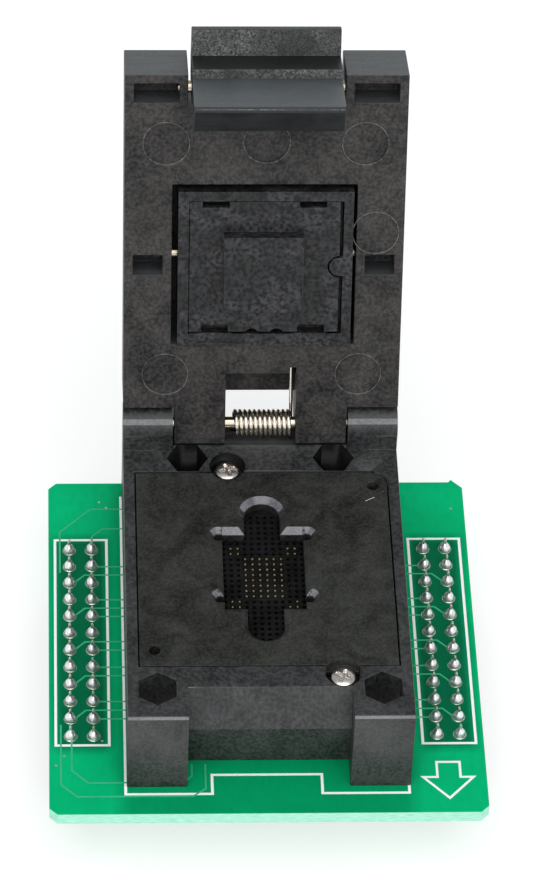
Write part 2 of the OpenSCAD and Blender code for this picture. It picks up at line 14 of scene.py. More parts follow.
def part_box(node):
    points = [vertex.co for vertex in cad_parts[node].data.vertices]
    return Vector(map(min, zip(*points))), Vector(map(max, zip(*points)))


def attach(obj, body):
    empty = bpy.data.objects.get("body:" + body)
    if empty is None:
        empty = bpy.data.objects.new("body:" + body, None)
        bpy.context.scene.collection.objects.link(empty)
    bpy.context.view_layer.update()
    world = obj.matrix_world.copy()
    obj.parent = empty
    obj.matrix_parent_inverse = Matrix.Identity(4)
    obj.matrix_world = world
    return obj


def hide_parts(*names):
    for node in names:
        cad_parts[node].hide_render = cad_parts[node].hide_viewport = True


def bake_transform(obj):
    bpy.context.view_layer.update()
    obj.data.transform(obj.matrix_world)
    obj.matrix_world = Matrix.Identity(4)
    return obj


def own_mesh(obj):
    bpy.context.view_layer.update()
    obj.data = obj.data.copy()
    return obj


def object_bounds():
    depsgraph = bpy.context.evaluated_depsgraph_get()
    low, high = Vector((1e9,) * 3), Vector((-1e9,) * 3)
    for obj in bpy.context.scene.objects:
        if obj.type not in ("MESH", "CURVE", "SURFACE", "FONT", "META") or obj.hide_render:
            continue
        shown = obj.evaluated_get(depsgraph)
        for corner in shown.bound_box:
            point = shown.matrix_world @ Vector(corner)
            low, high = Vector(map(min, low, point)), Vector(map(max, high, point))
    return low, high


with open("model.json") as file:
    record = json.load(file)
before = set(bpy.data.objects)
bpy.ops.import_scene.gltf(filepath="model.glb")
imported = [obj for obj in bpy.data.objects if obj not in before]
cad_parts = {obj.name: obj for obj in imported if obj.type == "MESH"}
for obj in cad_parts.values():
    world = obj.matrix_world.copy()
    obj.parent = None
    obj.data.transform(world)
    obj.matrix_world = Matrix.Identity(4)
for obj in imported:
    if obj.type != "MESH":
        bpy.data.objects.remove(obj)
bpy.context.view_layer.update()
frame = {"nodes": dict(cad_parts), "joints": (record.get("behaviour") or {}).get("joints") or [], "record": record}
scene = bpy.context.scene
mm = 0.001
joints = {joint["name"]: joint for joint in frame["joints"]}

# Places that the CAD gives
board_low, board_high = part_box("adapter_board")
base_low, base_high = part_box("socket_base")
board_top = board_high.z
board_bottom = board_low.z
base_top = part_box("guide_plate")[1].z + 0.05 * mm  # the guide plate lies a little lower
socket_x = (base_low.x + base_high.x) / 2
hinge = Vector(joints["lid_hinge"]["pos_m"])
open_angle = math.radians(joints["lid_hinge"]["range_deg"][1])
lid_up = Vector(joints["pusher_float"]["axis"])
lid_down = Vector((0, math.cos(open_angle), -math.sin(open_angle)))

# Header contacts: two columns of twelve on each side
header_pitch = 2.54 * mm
header_rows = 12
header_half_w = header_pitch
solder_r = 0.72 * mm
solder_h = 1.12 * mm
tail_half = 0.16 * mm

# Print and copper on the board
print_h = 0.02 * mm
print_w = 0.3 * mm
trace_h = 0.025 * mm
trace_w = 0.2 * mm

# Contact field
contact_pitch = 0.8 * mm
plunger_r = 0.16 * mm

# Rounded copies of CAD nodes
sharp_corner = math.radians(35)
same_place = 0.0005 * mm


# ---------------------------------------------------------------- materials


class Look:
    """A node material under construction: its Principled shader, and short calls that add nodes."""

    def __init__(self, name, roughness=0.5, metallic=0.0, specular=0.5):
        self.material = bpy.data.materials.new(name)
        self.material.use_nodes = True
        self.tree = self.material.node_tree
        self.shader = self.tree.nodes["Principled BSDF"]
        self.shader.inputs["Roughness"].default_value = roughness
        self.shader.inputs["Metallic"].default_value = metallic
        self.shader.inputs["Specular IOR Level"].default_value = specular
        self.place = self.add("ShaderNodeTexCoord").outputs["Object"]

    def add(self, kind, **settings):
        node = self.tree.nodes.new(kind)
        for key, value in settings.items():
            setattr(node, key, value)
        return node

    def link(self, source, target):
        self.tree.links.new(source, target)

    def stretched(self, stretch):
        """Object coordinates scaled by stretch, so that noise runs longer along an axis."""
        mapping = self.add("ShaderNodeMapping")
        mapping.inputs["Scale"].default_value = stretch
        self.link(self.place, mapping.inputs["Vector"])
        return mapping.outputs["Vector"]

    def noise(self, size, detail=3.0, stretch=None, swirl=0.0):
        """Noise from 0 to 1 with features about size across, drawn out into curls by swirl."""
        node = self.add("ShaderNodeTexNoise")
        node.inputs["Scale"].default_value = 1 / size
        node.inputs["Detail"].default_value = detail
        node.inputs["Distortion"].default_value = swirl
        self.link(self.stretched(stretch) if stretch else self.place, node.inputs["Vector"])
        return node.outputs["Fac"]

    def cells(self, size):
        """A random grey for each grain about size across."""
        node = self.add("ShaderNodeTexVoronoi")
        node.inputs["Scale"].default_value = 1 / size
        self.link(self.place, node.inputs["Vector"])
        grey = self.add("ShaderNodeSeparateColor")
        self.link(node.outputs["Color"], grey.inputs["Color"])
        return grey.outputs["Red"]

    def spread(self, value, low, high, to_low=0.0, to_high=1.0):
        """Value stretched from low..high to to_low..to_high, and held there outside."""
        node = self.add("ShaderNodeMapRange")
        self.link(value, node.inputs["Value"])
        node.inputs["From Min"].default_value = low
        node.inputs["From Max"].default_value = high
        node.inputs["To Min"].default_value = to_low
        node.inputs["To Max"].default_value = to_high
        return node.outputs["Result"]

    def math(self, operation, a, b=0.0):
        """Sum, product and the like of a and b, which are outputs or floats."""
        node = self.add("ShaderNodeMath", operation=operation)
        for socket, value in zip(node.inputs, (a, b)):
            if isinstance(value, float):
                socket.default_value = value
            else:
                self.link(value, socket)
        return node.outputs["Value"]

    def distance(self, value, centre):
        """How far a value lies from centre."""
        return self.math("ABSOLUTE", self.math("SUBTRACT", value, float(centre)))

    def mix(self, factor, a, b):
        """Colour from a to b by factor; a and b are colours or outputs."""
        node = self.add("ShaderNodeMix", data_type="RGBA")
        self.link(factor, node.inputs["Factor"])
        for socket, value in ((node.inputs["A"], a), (node.inputs["B"], b)):
            if isinstance(value, tuple):
                socket.default_value = (*value, 1.0)
            else:
                self.link(value, socket)
        return node.outputs["Result"]

    def bump(self, height, depth, strength):
        """Relief of that depth, on top of any relief that is there already."""
        node = self.add("ShaderNodeBump")
        node.inputs["Strength"].default_value = strength
        node.inputs["Distance"].default_value = depth
        self.link(height, node.inputs["Height"])
        previous = self.shader.inputs["Normal"]
        if previous.is_linked:
            self.link(previous.links[0].from_socket, node.inputs["Normal"])
        self.link(node.outputs["Normal"], previous)

    def colour(self, output):
        self.link(output, self.shader.inputs["Base Color"])

    def roughness(self, output):
        self.link(output, self.shader.inputs["Roughness"])

    def facing_up(self):
        """1 on faces that look along +Z or -Z, 0 on upright ones."""
        split = self.add("ShaderNodeSeparateXYZ")
        self.link(self.add("ShaderNodeNewGeometry").outputs["Normal"], split.inputs["Vector"])
        return self.spread(self.math("ABSOLUTE", split.outputs["Z"]), 0.5, 0.6)


def moulded_plastic(name, dark, light, frost=0.0, grain=1.0, roughness=0.5, specular=0.25):
    """Glass-filled black plastic: cloudy and grainy, with curls of pale glass in patches, and flecks."""
    look = Look(name, specular=specular)
    clouds = look.spread(look.noise(3.4 * mm, 5.0, swirl=0.6), 0.34, 0.66, 0.0, 0.45)
    mottle = look.spread(look.noise(0.4 * mm, 5.0), 0.4, 0.62, 0.0, 0.55)
    base = look.mix(look.math("ADD", clouds, mottle), dark, light)
    curls = look.spread(look.noise(0.7 * mm, 6.0, swirl=2.5), 0.48, 0.7, 0.0, frost)
    patch = look.spread(look.noise(3.2 * mm, 3.0), 0.42, 0.62)
    pale = tuple(min(1.0, c * 2.2) for c in light)
    fleck = tuple(min(1.0, c * 4) for c in light)
    base = look.mix(look.math("MULTIPLY", curls, patch), base, pale)
    flecks = look.spread(look.cells(0.09 * mm), 0.94, 1.0, 0.0, 0.5 * grain)
    look.colour(look.mix(look.math("MULTIPLY", flecks, clouds), base, fleck))
    look.roughness(look.spread(mottle, 0.0, 0.55, roughness - 0.06, roughness + 0.08))
    look.bump(look.noise(0.16 * mm, 3.0), 0.012 * mm * grain, 0.7)
    look.bump(clouds, 0.05 * mm, 0.3)
    return look.material


def smeared_plastic(name):
    """Pusher plastic, with frosted patches where packages and fingers have rubbed it."""
    look = Look(name, specular=0.25)
    mottle = look.spread(look.noise(0.45 * mm, 5.0), 0.38, 0.62)
    base = look.mix(mottle, (0.005, 0.005, 0.0055), (0.023, 0.023, 0.024))
    smear = look.spread(look.noise(4.5 * mm, 6.0, swirl=1.2), 0.5, 0.56, 0.0, 0.55)
    soft = look.spread(look.noise(2.2 * mm, 4.0, swirl=0.8), 0.4, 0.7, 0.0, 0.5)
    frost = look.math("ADD", smear, soft)
    look.colour(look.mix(look.math("MULTIPLY", frost, mottle), base, (0.055, 0.054, 0.057)))
    look.roughness(look.spread(frost, 0, 1, 0.36, 0.55))
    look.bump(look.noise(0.16 * mm, 3.0), 0.008 * mm, 0.6)
    return look.material


def smooth_plastic(name, dark, light, specular=0.25, roughness=0.36):
    """Machined satin plastic with stains and faint wiping scratches."""
    look = Look(name, specular=specular)
    stain = look.noise(3.6 * mm, 6.0, swirl=0.8)
    fine = look.noise(0.3 * mm, 5.0)
    scratch = look.noise(0.5 * mm, 2.0, (0.08, 1.4, 1.0))
    stained = look.spread(stain, 0.36, 0.64, 0.0, 0.5)
    grain = look.spread(fine, 0.38, 0.64, 0.0, 0.5)
    look.colour(look.mix(look.math("ADD", stained, grain), dark, light))
    wiped = look.math("ADD", stain, scratch)
    look.roughness(look.spread(wiped, 0.7, 1.3, roughness - 0.07, roughness + 0.09))
    look.bump(scratch, 0.008 * mm, 0.3)
    look.bump(fine, 0.008 * mm, 0.5)
    return look.material


def latch_grip(name):
    """The spark-eroded faces of the latch, with a sparkle of bare glass."""
    look = Look(name, specular=0.3, roughness=0.6)
    grip = look.noise(0.24 * mm, 5.0, swirl=1.0)
    cloud = look.spread(look.noise(4 * mm, 3.0), 0.35, 0.65, 0.25, 1.0)
    rough = look.math("MULTIPLY", look.spread(grip, 0.38, 0.68), cloud)
    look.colour(look.mix(rough, (0.025, 0.027, 0.026), (0.215, 0.22, 0.215)))
    look.bump(grip, 0.04 * mm, 0.8)
    return look.material


def solder_mask(name):
    """Green mask, darker over the header housings (copper under the mask, and painted shade), with painted shade
    round the socket, and pale layers on cut edges.
    """
    look = Look(name, specular=0.06)
    cloud = look.noise(9 * mm, 3.0)
    weave = look.noise(0.7 * mm, 2.0, (1.0, 0.4, 1.0))
    green = look.mix(look.spread(cloud, 0.3, 0.7), (0.0, 0.42, 0.155), (0.0, 0.51, 0.195))
    green = look.mix(look.spread(weave, 0.45, 0.75, 0.0, 0.2), green, (0.0, 0.28, 0.1))
    split = look.add("ShaderNodeSeparateXYZ")
    look.link(look.place, split.inputs["Vector"])
    low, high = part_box("header_right")
    middle = (low + high) / 2
    from_middle = look.math("ABSOLUTE", split.outputs["X"])
    beside = look.distance(from_middle, middle.x)
    along = look.distance(split.outputs["Y"], middle.y)
    # Painted shade, together with copper under the mask: the green darkens over the header housings.
    over_width = look.spread(beside, header_half_w - 0.3 * mm, header_half_w + 1.3 * mm, 0.78, 0.0)
    over_length = look.spread(along, high.y - middle.y - 0.3 * mm, high.y - middle.y + 1.5 * mm, 1.0, 0.0)
    green = look.mix(look.math("MULTIPLY", over_width, over_length), green, (0.0, 0.055, 0.028))
    # Painted shade: the green darkens round the socket, where the socket shades the board.
    inside = look.spread(from_middle, base_high.x - 0.5 * mm, base_high.x + 1.5 * mm, 0.45, 0.0)
    green = look.mix(inside, green, (0.002, 0.12, 0.045))
    fibre = look.noise(0.25 * mm, 4.0, (0.25, 0.25, 2.2))
    edge = look.mix(look.spread(fibre, 0.35, 0.65), (0.3, 0.66, 0.5), (0.44, 0.8, 0.66))
    look.colour(look.mix(look.facing_up(), edge, green))
    look.roughness(look.spread(look.facing_up(), 0, 1, 0.75, 0.28))
    look.bump(weave, 0.008 * mm, 0.5)
    return look.material


def covered_copper(name):
    """Traces under the mask: the same green, a little paler."""
    look = Look(name, roughness=0.3, specular=0.25)
    look.colour(look.mix(look.noise(1.2 * mm), (0.02, 0.4, 0.17), (0.07, 0.52, 0.27)))
    look.bump(look.noise(0.2 * mm), 0.004 * mm, 0.5)
    return look.material


def white_print(name):
    """White ink with a fine speckle."""
    look = Look(name, specular=0.3)
    speckle = look.noise(0.15 * mm, 4.0)
    look.colour(look.mix(look.spread(speckle, 0.25, 0.5), (0.9, 0.96, 0.93), (1.0, 1.0, 1.0)))
    look.roughness(look.spread(speckle, 0, 1, 0.5, 0.7))
    look.bump(speckle, 0.006 * mm, 0.6)
    return look.material


def metal(name, base, worn, roughness, lump=0.0, lump_size=0.4 * mm, stretch=None):
    """Plated or drawn metal: tarnish, uneven gloss and, on solder, a lumpy skin."""
    look = Look(name, metallic=1.0)
    tarnish = look.noise(0.6 * mm, 5.0, stretch)
    fine = look.noise(0.08 * mm, 3.0, stretch)
    look.colour(look.mix(look.spread(tarnish, 0.5, 0.8), base, worn))
    look.roughness(look.spread(fine, 0.2, 0.8, roughness * 0.7, roughness * 1.4))
    look.bump(fine, 0.002 * mm, 0.5)
    if lump:
        look.bump(look.noise(lump_size, 2.0), lump, 0.9)
    return look.material


black = moulded_plastic(
    "socket_plastic_look", (0.003, 0.003, 0.003), (0.055, 0.05, 0.048), frost=0.28,
)
black_base = moulded_plastic(
    "base_plastic_look", (0.007, 0.0075, 0.008), (0.05, 0.051, 0.051), frost=0.12, grain=0.7,
    roughness=0.42, specular=0.45,
)
# Painted highlight: the ejector witness rings are painted much paler than the lid, for the light on their edges.
ring_highlight = moulded_plastic(
    "ring_highlight_look", (0.03, 0.029, 0.028), (0.19, 0.18, 0.18), roughness=0.45,
)
# Painted sheen: the lid's end faces, which face the sky with the lid open, get a paler, cooler colour than the
# rest of the lid.
lid_end_sheen = smooth_plastic("lid_end_sheen_look", (0.04, 0.044, 0.046), (0.078, 0.085, 0.089), 0.4, 0.46)
black_pusher = smeared_plastic("pusher_plastic_look")
black_latch = smooth_plastic(
    "latch_plastic_look", (0.006, 0.0068, 0.0075), (0.012, 0.0132, 0.0145), 0.45, 0.4,
)
# Painted light: the latch arm's outer faces, which face up towards the lamp, are painted much paler than the rest
# of the latch.
lit_arm_face = smooth_plastic("lit_arm_face_look", (0.06, 0.068, 0.071), (0.088, 0.098, 0.103), 0.4, 0.4)
black_grip = latch_grip("latch_grip_look")
black_guide = smooth_plastic("guide_plastic_look", (0.009, 0.0095, 0.0085), (0.047, 0.048, 0.043))
# Painted highlight: the guide plate's bevels that slope up towards the front, facing the lamp, are painted much
# paler.
bevel_highlight = smooth_plastic(
    "bevel_highlight_look", (0.06, 0.057, 0.067), (0.18, 0.172, 0.196), 0.8, 0.28,
)
# Painted highlight for the base's faces that slope up towards the front, such as the legs' rounded front edges.
nose_highlight = smooth_plastic("nose_highlight_look", (0.07, 0.07, 0.072), (0.16, 0.16, 0.165), 0.6, 0.3)
black_plate = smooth_plastic(
    "pin_plate_look", (0.003, 0.003, 0.0032), (0.016, 0.016, 0.0165), specular=0.1,
)
black_header = moulded_plastic(
    "header_plastic_look", (0.006, 0.006, 0.006), (0.022, 0.022, 0.022), grain=0.6,
)
mask = solder_mask("solder_mask_look")
trace = covered_copper("trace_look")
ink = white_print("print_look")
solder = metal(
    "solder_look", (0.9, 0.87, 0.89), (0.7, 0.66, 0.68), 0.34, lump=0.035 * mm, lump_size=0.55 * mm,
)
tin = metal("tin_look", (0.82, 0.78, 0.72), (0.56, 0.42, 0.24), 0.26)
gold = metal("gold_look", (0.62, 0.47, 0.25), (0.42, 0.29, 0.15), 0.34)
wire_steel = metal("wire_look", (0.84, 0.77, 0.68), (0.52, 0.42, 0.32), 0.18, stretch=(1, 3, 3))
pin_steel = metal("pin_look", (0.62, 0.54, 0.42), (0.4, 0.34, 0.27), 0.18, stretch=(0.15, 2, 2))
screw_steel = metal("screw_look", (0.76, 0.71, 0.67), (0.54, 0.46, 0.4), 0.26)


# ---------------------------------------------------------------- pieces


def add_piece(name, bm, body, material, replaced=(), flat_above=40):
    """Makes an object of bm, shades it, puts it on a body and hides the CAD nodes that it stands for."""
    mesh = bpy.data.meshes.new(name)
    bmesh.ops.recalc_face_normals(bm, faces=bm.faces)
    bm.to_mesh(mesh)
    bm.free()
    mesh.shade_smooth()
    mesh.set_sharp_from_angle(angle=math.radians(flat_above))
    mesh.materials.append(material)
    piece = bpy.data.objects.new(name, mesh)
    scene.collection.objects.link(piece)
    if replaced:
        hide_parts(*replaced)
    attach(piece, body)
    return piece


def even_shading(piece):
    """Shades big flat faces flat, so that only the small rounded edges between them look round."""
    weighted = piece.modifiers.new("even_shading", "WEIGHTED_NORMAL")
    weighted.mode = "FACE_AREA"
    weighted.weight = 100
    weighted.keep_sharp = True


def body_and_slot(node):
    """The body that a CAD node belongs to, and its material slot in the record."""
    groups = frame["record"]["behaviour"]["bodies"]
    body = next(name for name, nodes in groups.items() if node in nodes)
    slot = next(part["material_slot"] for part in frame["record"]["subparts"] if part["node"] == node)
    return body, slot


def flat_regions(bm):
    """Lists of faces that lie in one plane and touch."""
    bm.faces.ensure_lookup_table()
    seen = set()
    regions = []
    for first in bm.faces:
        if first in seen:
            continue
        seen.add(first)
        region, queue = [], [first]
        while queue:
            face = queue.pop()
            region.append(face)
            for edge in face.edges:
                for other in edge.link_faces:
                    if other not in seen and first.normal.dot(other.normal) > 0.99996:
                        seen.add(other)
                        queue.append(other)
        regions.append(region)
    return regions


def hole_centres(region):
    """Centres of the holes in a flat region: every outline except the longest."""
    inside = set(region)
    rim = [
        edge for face in region for edge in face.edges
        if sum(neighbour in inside for neighbour in edge.link_faces) == 1
    ]
    outlines = []
    while rim:
        outline = {rim[0].verts[0], rim[0].verts[1]}
        rest = rim[1:]
        grown = True
        while grown:
            joined = [edge for edge in rest if edge.verts[0] in outline or edge.verts[1] in outline]
            grown = bool(joined)
            rest = [edge for edge in rest if edge not in joined]
            outline.update(vert for edge in joined for vert in edge.verts)
        outlines.append([vert.co.copy() for vert in outline])
        rim = rest

    def spread(points):
        return max((point - points[0]).length for point in points)

    outlines.sort(key=spread)
    return [sum(points, Vector()) / len(points) for points in outlines[:-1]]


def split_through_holes(bm):
    """Cuts each flat region through its holes, so that no face has a hole once faces are merged again.

    While it works, a face's material index is the number of its region.
    """
    regions = flat_regions(bm)
    for number, region in enumerate(regions):
        for face in region:
            face.material_index = number
    for number, region in enumerate(regions):
        across = Vector((1, 0, 0)) if abs(region[0].normal.x) < 0.7 else Vector((0, 0, 1))
        for centre in hole_centres(region):
            faces = [face for face in bm.faces if face.material_index == number]
            around = faces + list({edge for face in faces for edge in face.edges})
            around += list({vert for face in faces for vert in face.verts})
            cut = bmesh.ops.bisect_plane(bm, geom=around, dist=same_place, plane_co=centre, plane_no=across)
            for part in cut["geom_cut"]:
                if isinstance(part, bmesh.types.BMEdge):
                    part.seam = True
    for face in bm.faces:
        face.material_index = 0


def rounded(node, radius, material, shortest=0.0, leave=None):
    """A copy of a CAD node whose sharp edges are broken, as moulding and tumbling leave them.

    Edges below the shortest length stay sharp, and so do those that the test leave picks.
    """
    bm = bmesh.new()
    bm.from_mesh(frame["nodes"][node].data)
    bmesh.ops.remove_doubles(bm, verts=bm.verts, dist=same_place)
    split_through_holes(bm)
    bmesh.ops.dissolve_limit(
        bm, angle_limit=math.radians(0.5), verts=bm.verts, edges=bm.edges, delimit={"SEAM"},
    )
    sharp = [
        edge for edge in bm.edges
        if len(edge.link_faces) == 2
        and edge.calc_face_angle() > sharp_corner
        and edge.calc_length() >= shortest
        and not (leave and leave(edge))
    ]
    bmesh.ops.bevel(
        bm, geom=sharp, offset=radius, offset_type="OFFSET", segments=2, profile=0.5,
        affect="EDGES", clamp_overlap=False, loop_slide=False,
    )
    body, slot = body_and_slot(node)
    piece = add_piece(node + "_piece", bm, body, material, [node])
    even_shading(piece)
    return piece


def paint_faces(piece, material, test):
    """Gives another material to the faces whose normal and centre pass the test."""
    piece.data.materials.append(material)
    for face in piece.data.polygons:
        if test(face.normal, face.center):
            face.material_index = len(piece.data.materials) - 1


def dress(node, material):
    """Gives a CAD node that stays a better material."""
    for slot in frame["nodes"][node].material_slots:
        slot.material = material


def circle(count):
    """The cosine and sine of each of count even steps round a circle."""
    angles = [2 * math.pi * step / count for step in range(count)]
    return [(math.cos(angle), math.sin(angle)) for angle in angles]


def ring_of(bm, points):
    """New vertices at the points."""
    return [bm.verts.new(point) for point in points]


def skin(bm, rings, closed=False):
    """Walls between neighbouring rings of equal length. It closes on itself, or has a face over each end."""
    following = rings[1:] + rings[:1] if closed else rings[1:]
    for low, high in zip(rings, following):
        count = len(low)
        for i in range(count):
            j = (i + 1) % count
            bm.faces.new((low[i], low[j], high[j], high[i]))
    if not closed:
        bm.faces.new(list(reversed(rings[0])))
        bm.faces.new(rings[-1])


def lathe(bm, profile, place, segments, bend=None):
    """Turns a profile of (radius, height) round place's Z axis; bend moves each point if it is given."""
    rings = []
    for radius, height in profile:
        points = [Vector((radius * c, radius * s, height)) for c, s in circle(segments)]
        rings.append(ring_of(bm, [place @ (bend(point) if bend else point) for point in points]))
    skin(bm, rings)


def hollow_lathe(bm, x, y, outline, segments):
    """Turns a closed outline of (radius, height) round the upright line through x and y."""
    rings = [ring_of(bm, [(x + r * c, y + r * s, z) for r, z in outline]) for c, s in circle(segments)]
    skin(bm, rings, closed=True)


def at(x, y, z):
    """The matrix that moves something to a place."""
    return Matrix.Translation((x, y, z))


def tube(bm, path, radius, sides):
    """A wire of that radius along a path, with rings that don't twist."""
    rings = []
    side = None
    for i, point in enumerate(path):
        ahead = path[min(i + 1, len(path) - 1)] - path[max(i - 1, 0)]
        ahead.normalize()
        if side is None:
            side = ahead.orthogonal().normalized()
        side = (side - ahead * side.dot(ahead)).normalized()
        up = ahead.cross(side)
        rings.append(ring_of(bm, [point + radius * (side * c + up * s) for c, s in circle(sides)]))
    skin(bm, rings)


def ribbon(bm, points, width, bottom, height, closed=False):
    """A printed line along points in X and Y, with mitred corners."""
    points = [Vector(point[:2]) for point in points]
    count = len(points)
    sides = ([], [])
    for i, point in enumerate(points):
        before = points[i - 1] if i or closed else None
        after = points[(i + 1) % count] if i < count - 1 or closed else None
        pairs = [(a, b) for a, b in ((before, point), (point, after)) if a is not None and b is not None]
        ways = [(b - a).normalized() for a, b in pairs]
        normals = [Vector((-way.y, way.x)) for way in ways]
        mitre = sum(normals, Vector((0, 0))).normalized()
        reach = width / 2 / max(0.3, mitre.dot(normals[0]))
        sides[0].append(point + mitre * reach)
        sides[1].append(point - mitre * reach)
    sections = [
        ring_of(bm, [
            (left.x, left.y, bottom), (right.x, right.y, bottom),
            (right.x, right.y, bottom + height), (left.x, left.y, bottom + height),
        ])
        for left, right in zip(*sides)
    ]
    skin(bm, sections, closed)


def disc(bm, x, y, radius, bottom, height, hole=0.0, segments=20):
    """A flat pad, or a ring where it has a hole."""
    top = bottom + height
    if hole:
        hollow_lathe(bm, x, y, [(hole, bottom), (radius, bottom), (radius, top), (hole, top)], segments)
    else:
        lathe(bm, [(radius, bottom), (radius, top)], at(x, y, 0), segments)


def header_spots(side):
    """Centres of one header's contacts, worked out from its solder joints' box."""
    low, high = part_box("solder_" + side)
    middle = (low + high) / 2
    return [
        (middle.x + (column - 0.5) * header_pitch, middle.y + (row - (header_rows - 1) / 2) * header_pitch)
        for column in (0, 1) for row in range(header_rows)
    ]


# ---------------------------------------------------------------- adapter board


def board_print():
    """White outlines: the socket, a box round each header, and the arrow at the front right."""
    bm = bmesh.new()
    left = base_low.x - 0.12 * mm
    right = base_high.x - 0.17 * mm
    front = base_low.y - 1.0 * mm
    rear = base_high.y - 1.2 * mm
    tongue_y = base_low.y + 1.7 * mm
    tongue_left, tongue_right = -6.1 * mm, 6.0 * mm
    socket = [
        (left, rear), (left, front), (tongue_left, front), (tongue_left, tongue_y),
        (tongue_right, tongue_y), (tongue_right, front), (right, front), (right, front + 1.2 * mm),
    ]
    ribbon(bm, socket, print_w, board_top, print_h)
    for side in ("left", "right"):
        low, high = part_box("solder_" + side)
        x0, x1 = low.x - 0.75 * mm, high.x + 0.85 * mm
        y0, y1 = low.y - 0.4 * mm, high.y + 0.75 * mm
        ribbon(bm, [(x0, y0), (x1, y0), (x1, y1), (x0, y1)], print_w, board_top, print_h, closed=True)
    tip_x, tip_y = 19.95 * mm, board_low.y + 2.0 * mm
    head_y = tip_y + 3.0 * mm
    tail_y = head_y + 2.15 * mm
    head_left, head_right = tip_x - 2.8 * mm, tip_x + 2.8 * mm
    shaft_left, shaft_right = tip_x - 1.2 * mm, tip_x + 1.35 * mm
    arrow = [
        (shaft_left, tail_y), (shaft_left, head_y), (head_left, head_y), (tip_x, tip_y),
        (head_right, head_y), (shaft_right, head_y), (shaft_right, tail_y),
    ]
    ribbon(bm, arrow, print_w * 0.9, board_top, print_h, closed=True)
    add_piece("board_print", bm, "adapter", ink)


def jog(start, middle_x, end):
    """A route from start that turns at 45 degrees near middle_x to reach end's row."""
    rise = end[1] - start[1]
    way = 1 if end[0] > start[0] else -1
    return [start, (middle_x, start[1]), (middle_x + way * abs(rise), end[1]), end]


def traces_to_socket(bm):
    """Traces on top that run from the header contacts in below the socket."""
    for side, way in (("left", 1), ("right", -1)):
        spots = header_spots(side)
        columns = (spots[:header_rows], spots[header_rows:])
        outer, inner = columns if side == "left" else reversed(columns)
        wall = way * -(base_high.x - 0.3 * mm)
        for row in range(1, header_rows - 1):
            x, y = inner[row]
            if row % 3:
                ribbon(bm, [(x + way * 0.8 * mm, y), (wall, y)], trace_w, board_top, trace_h)
            x, y = outer[row]
            if row % 2:
                route = jog((x + way * 0.3 * mm, y), x + way * 0.45 * mm, (wall, y + header_pitch / 2))
                ribbon(bm, route, trace_w, board_top, trace_h)


def traces_round_header(bm):
    """Four longer traces on top, behind and in front of the left header."""
    low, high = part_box("solder_left")
    rear, front = high.y, low.y
    wall = base_low.x + 0.3 * mm
    outer_x, inner_x = low.x - 0.2 * mm, low.x + 1.0 * mm
    beside = high.x - 0.8 * mm
    routes = [
        [
            (outer_x, rear - 4.3 * mm), (outer_x, rear + 2.0 * mm), (outer_x + 3.6 * mm, rear + 5.6 * mm),
            (wall, rear + 5.6 * mm),
        ],
        [
            (beside, rear - 0.3 * mm), (beside, rear + 1.3 * mm), (high.x + 0.4 * mm, rear + 2.5 * mm),
            (wall, rear + 2.5 * mm),
        ],
        [
            (outer_x, front + 2.6 * mm), (outer_x, front - 6.0 * mm),
            (outer_x + 1.75 * mm, front - 7.75 * mm), (-8.2 * mm, front - 7.75 * mm),
            (-6.8 * mm, front - 6.7 * mm), (-6.8 * mm, front - 3.2 * mm),
        ],
        [
            (inner_x, front + 0.3 * mm), (inner_x, front - 4.0 * mm), (inner_x + 1.8 * mm, front - 5.8 * mm),
            (-9.2 * mm, front - 5.8 * mm), (-8.3 * mm, front - 4.9 * mm), (-8.3 * mm, front - 3.2 * mm),
        ],
    ]
    for route in routes:
        ribbon(bm, route, trace_w, board_top, trace_h)


def traces_below(bm):
    """Traces on the underside, from every other header contact to a via below the socket."""
    under = board_bottom - trace_h
    for side, way in (("left", 1), ("right", -1)):
        for index, (x, y) in enumerate(header_spots(side)):
            if index % 2:
                via = (way * -6.2 * mm, y * 0.42)
                bend_x = way * -(9.5 * mm + abs(y) * 0.25)
                ribbon(bm, jog((x + way * 2.8 * mm, y), bend_x, via), trace_w, under, trace_h)
                disc(bm, *via, 0.3 * mm, under, trace_h, segments=16)


def board_traces():
    """Copper that shows through the mask, on both faces, and the vias below."""
    bm = bmesh.new()
    traces_to_socket(bm)
    traces_round_header(bm)
    traces_below(bm)
    add_piece("board_traces", bm, "adapter", trace)


def board_pads():
    """Tinned rings round the header contacts, and the small vias."""
    bm = bmesh.new()
    for side in ("left", "right"):
        for x, y in header_spots(side):
            disc(bm, x, y, 0.76 * mm, board_top, print_h * 0.8, hole=0.5 * mm)
    vias = (
        (-17.3, 19.9), (-22.3, -17.5), (-18.1, 20.8), (-23.2, -18.9),
        (22.7, 19.6), (18.6, 13.2), (18.4, 8.0), (-18.1, -15.4),
    )
    for x, y in vias:
        disc(bm, x * mm, y * mm, 0.14 * mm, board_top, trace_h * 1.2, segments=12)
    add_piece("board_pads", bm, "adapter", tin)


def solder_joint(bm, x, y, seed):
    """One cone of solder, a little lopsided, wetted up its contact's tail."""
    chance = random.Random(seed)
    wide = chance.uniform(0.93, 1.0)
    tall = chance.uniform(0.9, 1.0)
    lean = Vector((chance.uniform(-0.05, 0.05) * mm, chance.uniform(-0.05, 0.05) * mm, 0))
    drift = Vector((seed * 3.1, seed * 1.7, 0))

    def settle(point):
        lump = noise.noise(point / (0.45 * mm) + drift) * 0.06 * mm
        share = point.z / solder_h
        away = Vector((point.x, point.y, 0)).normalized() if point.xy.length else Vector()
        return point + away * lump * (1 - share * 0.6) + lean * share

    outline = [
        (1.0, 0.0), (1.0, 0.05), (0.97, 0.14), (0.93, 0.26), (0.86, 0.4), (0.76, 0.54),
        (0.62, 0.68), (0.46, 0.8), (0.34, 0.91), (0.24, 1.0),
    ]
    profile = [(solder_r * wide * r, solder_h * tall * h) for r, h in outline]
    lathe(bm, profile, at(x, y, board_top + print_h * 0.5), 22, settle)


